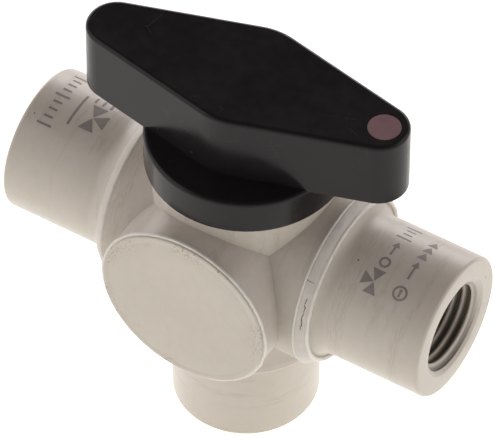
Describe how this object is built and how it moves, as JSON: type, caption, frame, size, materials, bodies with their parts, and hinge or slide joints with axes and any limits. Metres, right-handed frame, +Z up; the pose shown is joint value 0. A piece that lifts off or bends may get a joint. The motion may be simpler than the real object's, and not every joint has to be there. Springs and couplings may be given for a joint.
{
  "type": "three way valve",
  "caption": "Compact moulded plastic ball valve with an L-bored ball, female threaded ports in line and below, welded blanking caps and a long-grip turning handle.",
  "frame": {"origin": "centre of the bottom port's mouth, on the surface that the valve stands on", "axes": "+Z up along the stem, +X out of the right port, -Y out of the front blanking cap"},
  "size_m": [0.0642, 0.0322, 0.0611],
  "materials": {
    "body_plastic": "satin moulded polypropylene, warm pebble grey",
    "sleeve_plastic": "satin turned polypropylene, warm pebble grey",
    "cap_plastic": "satin moulded polypropylene, warm pebble grey",
    "ball_plastic": "polished polypropylene, light grey",
    "seat_plastic": "waxy white fluoropolymer",
    "seal_rubber": "smooth moulded fluoro rubber, black",
    "stem_plastic": "turned polypropylene, light grey",
    "handle_plastic": "satin moulded nylon, black",
    "dot_plastic": "satin moulded plastic, dull mauve red"
  },
  "bodies": {
    "housing": {"valve_body": "body_plastic", "right_port_sleeve": "sleeve_plastic", "left_port_sleeve": "sleeve_plastic", "bottom_port_sleeve": "sleeve_plastic", "front_blanking_cap": "cap_plastic", "rear_blanking_cap": "cap_plastic", "right_seat": "seat_plastic", "left_seat": "seat_plastic", "bottom_seat": "seat_plastic", "front_seat": "seat_plastic", "rear_seat": "seat_plastic", "right_seat_o_ring": "seal_rubber", "left_seat_o_ring": "seal_rubber", "bottom_seat_o_ring": "seal_rubber", "front_seat_o_ring": "seal_rubber", "rear_seat_o_ring": "seal_rubber", "thrust_washer": "seat_plastic"},
    "handle_and_stem": {"handle": "handle_plastic", "indicator_dot": "dot_plastic", "stem": "stem_plastic", "lower_stem_o_ring": "seal_rubber", "upper_stem_o_ring": "seal_rubber"},
    "ball": {"ball": "ball_plastic"}
  },
  "joints": [
    {"name": "handle_turn", "type": "hinge", "parent": "housing", "child": "handle_and_stem", "pos_m": [0, 0, 0.0304], "axis": [0, 0, 1], "range_deg": [-3.75, 176.25]},
    {"name": "ball_turn", "type": "hinge", "parent": "housing", "child": "ball", "pos_m": [0, 0, 0.0304], "axis": [0, 0, 1], "range_deg": [-3.75, 176.25]}
  ],
  "couplings": [
    {"joint": "ball_turn", "follows": "handle_turn", "ratio": 1}
  ]
}
